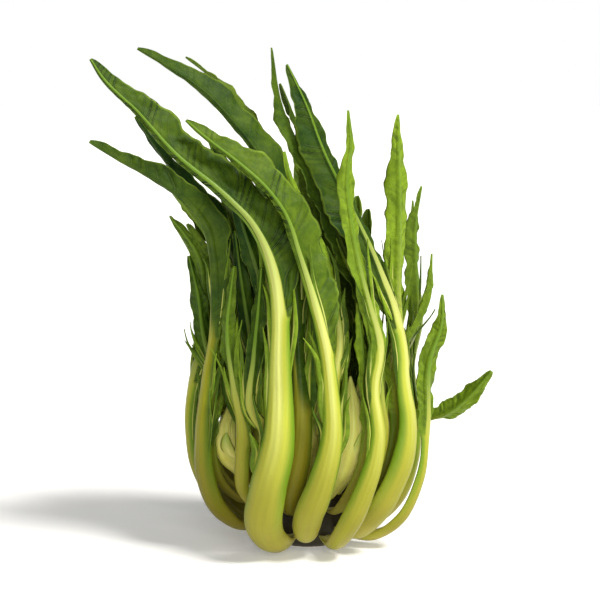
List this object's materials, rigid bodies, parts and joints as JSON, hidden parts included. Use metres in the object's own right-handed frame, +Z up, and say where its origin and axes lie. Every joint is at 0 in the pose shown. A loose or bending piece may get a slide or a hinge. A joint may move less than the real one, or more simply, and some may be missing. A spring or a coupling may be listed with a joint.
{
  "type": "puntarelle head",
  "caption": "Whole head of puntarelle: fat pale stalks bellying out from a cut stump round a cluster of hollow shoots, with long narrow toothed blades.",
  "frame": {"origin": "centre of the stump's cut face, on the surface that the head stands on", "axes": "+Z up along the head, -Y towards the front, +X to the front's right"},
  "size_m": [0.3456, 0.2182, 0.4321],
  "materials": {
    "stump": "moist cut vegetable",
    "shoot": "smooth waxy vegetable skin",
    "leaf": "satin leaf, pale stalk"
  },
  "bodies": {
    "root": {"inner_leaf_01": "leaf", "inner_leaf_02": "leaf", "inner_leaf_03": "leaf", "inner_leaf_04": "leaf", "inner_leaf_05": "leaf", "inner_leaf_06": "leaf", "inner_leaf_07": "leaf", "inner_leaf_08": "leaf", "inner_leaf_09": "leaf", "inner_leaf_10": "leaf", "inner_leaf_11": "leaf", "inner_leaf_12": "leaf", "middle_leaf_01": "leaf", "middle_leaf_02": "leaf", "middle_leaf_03": "leaf", "middle_leaf_04": "leaf", "middle_leaf_05": "leaf", "middle_leaf_06": "leaf", "middle_leaf_07": "leaf", "middle_leaf_08": "leaf", "middle_leaf_09": "leaf", "middle_leaf_10": "leaf", "middle_leaf_11": "leaf", "middle_leaf_12": "leaf", "middle_leaf_13": "leaf", "middle_leaf_14": "leaf", "middle_leaf_15": "leaf", "middle_leaf_16": "leaf", "outer_leaf_01": "leaf", "outer_leaf_02": "leaf", "outer_leaf_03": "leaf", "outer_leaf_04": "leaf", "outer_leaf_05": "leaf", "outer_leaf_06": "leaf", "outer_leaf_07": "leaf", "outer_leaf_08": "leaf", "outer_leaf_09": "leaf", "outer_leaf_10": "leaf", "outer_leaf_11": "leaf", "outer_leaf_12": "leaf", "outer_leaf_13": "leaf", "shoot_01": "shoot", "shoot_02": "shoot", "shoot_03": "shoot", "shoot_04": "shoot", "shoot_05": "shoot", "shoot_06": "shoot", "shoot_07": "shoot", "shoot_08": "shoot", "shoot_09": "shoot", "shoot_10": "shoot", "shoot_11": "shoot", "shoot_12": "shoot", "shoot_13": "shoot", "stump": "stump"}
  },
  "joints": []
}
